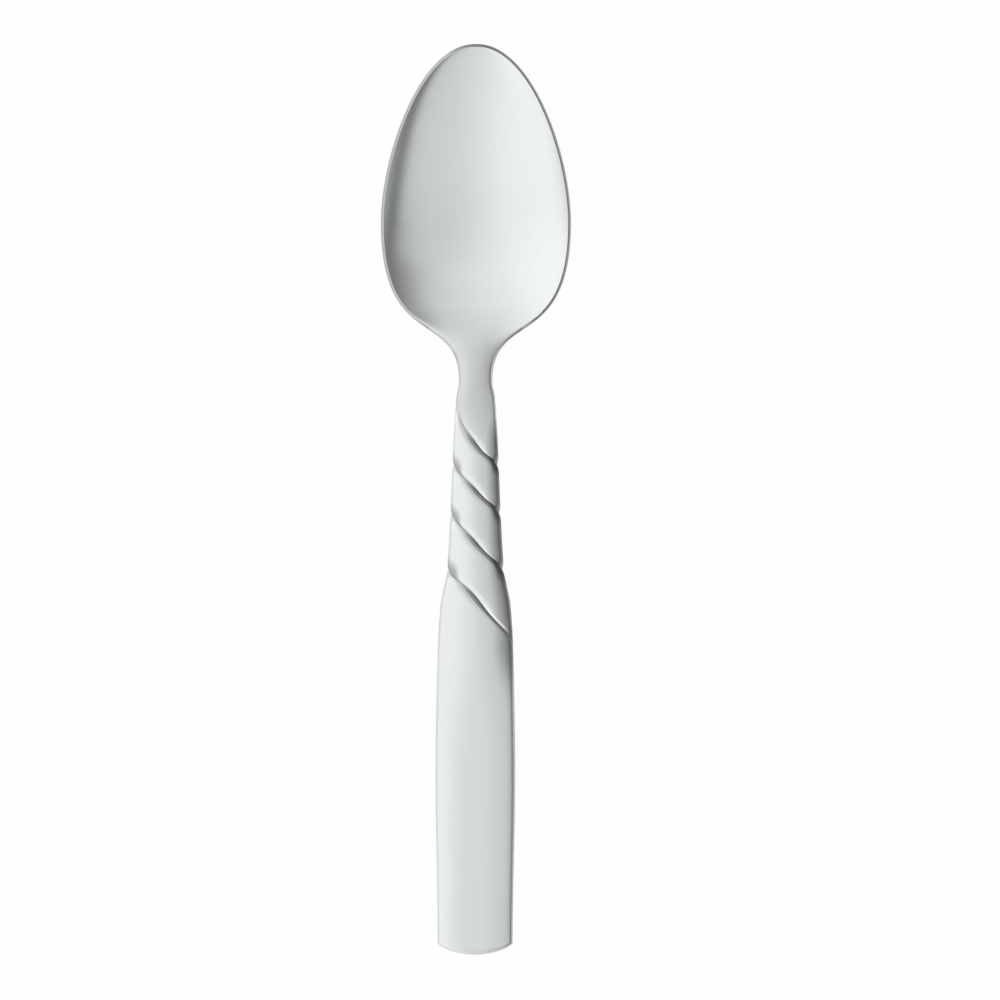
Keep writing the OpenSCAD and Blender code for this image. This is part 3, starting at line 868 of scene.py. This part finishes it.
def white_floor(look):
    """Wide white floor that shows plain white and keeps a faint shadow."""
    reach, drop = 30.0, 0.02 * MM
    mesh = bpy.data.meshes.new("floor")
    corners = [(-reach, -reach, 0), (reach, -reach, 0), (reach, reach, 0), (-reach, reach, 0)]
    mesh.from_pydata(corners, [], [(0, 1, 2, 3)])
    floor = bpy.data.objects.new("floor", mesh)
    floor.location.z = -drop
    bpy.context.scene.collection.objects.link(floor)
    material = bpy.data.materials.new("floor_white")
    material.use_nodes = True
    shade = Shade(material.node_tree)
    paint = shade.add("ShaderNodeBsdfDiffuse", {}, {"Color": (*look.white, 1)})
    glow = shade.add("ShaderNodeEmission", {}, {"Color": (1, 1, 1, 1), "Strength": 1.0})
    seen = [shade.add("ShaderNodeLightPath", out=ray)
            for ray in ("Is Camera Ray", "Is Glossy Ray", "Is Transmission Ray")]
    direct = shade.step(seen[0] + seen[1] + seen[2], 0.0, 1.0)
    both = shade.add("ShaderNodeMixShader", {}, {0: direct * look.glow, 1: paint, 2: glow})
    shade.add("ShaderNodeOutputMaterial", {}, {"Surface": both})
    mesh.materials.append(material)


def studio_light(scene):
    """Soft light from all round, brightest at the left and darkest low at the right."""
    world = bpy.data.worlds.new("studio")
    world.use_nodes = True
    scene.world = world
    shade = Shade(world.node_tree)
    way = shade.add("ShaderNodeTexCoord", out="Generated")
    x, y = (shade.add("ShaderNodeSeparateXYZ", {}, {0: way}, axis) for axis in "XY")
    back = -1 * y

    # Dark places: low at the right, close to the floor ahead at the right, and higher up at the same corner
    low = shade.math("SQRT", x * x + y * y)
    right = shade.math("DIVIDE", x, low + 0.001)
    ahead = shade.math("DIVIDE", 0.85 * x + 0.53 * y, low + 0.001)
    low_right = shade.step(low, 0.81, 0.955) * shade.step(right, 0.15, 0.7)
    low_ahead = shade.step(low, 0.93, 0.99) * shade.step(ahead, 0.1, 0.5)
    corner = 0.8 * shade.step(0.72 * x + 0.69 * y, 0.6, 0.78)
    dark = shade.math("MAXIMUM", shade.math("MAXIMUM", low_right, low_ahead), corner)

    # Level of the light, lower towards the right and in the dark places, and higher ahead and behind
    level = 1.14
    for change, mask in (
            (-0.05, x),
            (-0.32, shade.step(x, -0.32, 0.2)),
            (-0.03, shade.step(x, 0.35, 0.75)),
            (-0.58, dark),
            (0.12, shade.step(0.9 * y - 0.45 * x, 0.28, 0.58)),
            (0.06, shade.step(back, 0.08, 0.25)),
            (-0.11, shade.step(back, 0.42, 0.65) * shade.step(x, -0.5, -0.1))):
        level = level + change * mask
    sky = shade.add("ShaderNodeBackground", {}, {"Color": (0.99, 1.0, 1.0, 1), "Strength": level})
    shade.add("ShaderNodeOutputWorld", {}, {"Surface": sky})


def overhead_camera(scene, look):
    """Camera straight above, framed as the picture."""
    data = bpy.data.cameras.new("camera")
    data.lens = look.lens
    camera = bpy.data.objects.new("camera", data)
    low, high = (Vector(corner) for corner in CAD_BOX)
    frame_w = look.pixels * look.pixel
    distance = frame_w * data.lens / data.sensor_width
    middle = look.pixels / 2
    camera.location = ((middle - look.axis_at[0]) * look.pixel, (look.axis_at[1] - middle) * look.pixel,
                       (low.z + high.z) / 2 + distance)
    camera.rotation_euler = (0, 0, look.roll)
    data.clip_end = 200
    scene.collection.objects.link(camera)
    scene.camera = camera


class SPOON_OT_bowl(bpy.types.Operator):
    """Build the bowl with its neck, its lips and the tang"""
    bl_idname = "spoon.bowl"
    bl_label = "Bowl"

    def execute(self, context):
        scene = context.scene
        piece = bowl_skin(SpoonForm(scene)).build("bowl_shell")
        finish = satin_steel("bowl_satin", scene.spoon_steel, (0, 0, 0))
        dress(piece, finish, "bowl")
        return {"FINISHED"}


class SPOON_OT_strands(bpy.types.Operator):
    """Build the two strands of the twist"""
    bl_idname = "spoon.strands"
    bl_label = "Strands"

    def execute(self, context):
        scene = context.scene
        form = SpoonForm(scene)
        finish = satin_steel("strand_satin", scene.spoon_steel, (0.31, 0.17, 0.05))
        for node, start in (("left_strand", 0), ("right_strand", HALF_TURN)):
            piece = strand_skin(form, start).build(node + "_wound")
            dress(piece, finish, node)
        return {"FINISHED"}


class SPOON_OT_handle(bpy.types.Operator):
    """Build the handle with its lips and bore"""
    bl_idname = "spoon.handle"
    bl_label = "Handle"

    def execute(self, context):
        scene = context.scene
        piece = handle_skin(SpoonForm(scene)).build("handle_grip")
        finish = satin_steel("handle_satin", scene.spoon_steel, (0.11, 0.47, 0.23))
        dress(piece, finish, "handle")
        return {"FINISHED"}


class SPOON_OT_stage(bpy.types.Operator):
    """Set up the floor, the light and the camera"""
    bl_idname = "spoon.stage"
    bl_label = "Stage"

    def execute(self, context):
        scene = context.scene
        scene.view_settings.view_transform = "Standard"
        white_floor(scene.spoon_stage)
        studio_light(scene)
        overhead_camera(scene, scene.spoon_stage)
        return {"FINISHED"}


class SPOON_PT_sidebar(bpy.types.Panel):
    """Sizes, colours and pieces of the spoon"""
    bl_label = "Spoon"
    bl_space_type = "VIEW_3D"
    bl_region_type = "UI"
    bl_category = "Spoon"

    def draw(self, context):
        for group, _ in GROUPS:
            box = self.layout.box()
            settings = getattr(context.scene, group)
            for name in settings.__annotations__:
                box.prop(settings, name)
        for operator in OPERATORS:
            self.layout.operator(operator.bl_idname)


GROUPS = (
    ("spoon_bowl", BowlSizes),
    ("spoon_stem", StemSizes),
    ("spoon_handle", HandleSizes),
    ("spoon_steel", SteelLook),
    ("spoon_stage", StageLook),
)
OPERATORS = (SPOON_OT_bowl, SPOON_OT_strands, SPOON_OT_handle, SPOON_OT_stage)
CLASSES = (*(group for _, group in GROUPS), *OPERATORS, SPOON_PT_sidebar)


def register():
    for cls in CLASSES:
        bpy.utils.register_class(cls)
    for name, group in GROUPS:
        setattr(bpy.types.Scene, name, PointerProperty(type=group))


def unregister():
    for name, _ in GROUPS:
        delattr(bpy.types.Scene, name)
    for cls in reversed(CLASSES):
        bpy.utils.unregister_class(cls)


def main():
    register()
    bpy.ops.spoon.bowl()
    bpy.ops.spoon.strands()
    bpy.ops.spoon.handle()
    bpy.ops.spoon.stage()


if __name__ == "__main__":
    main()
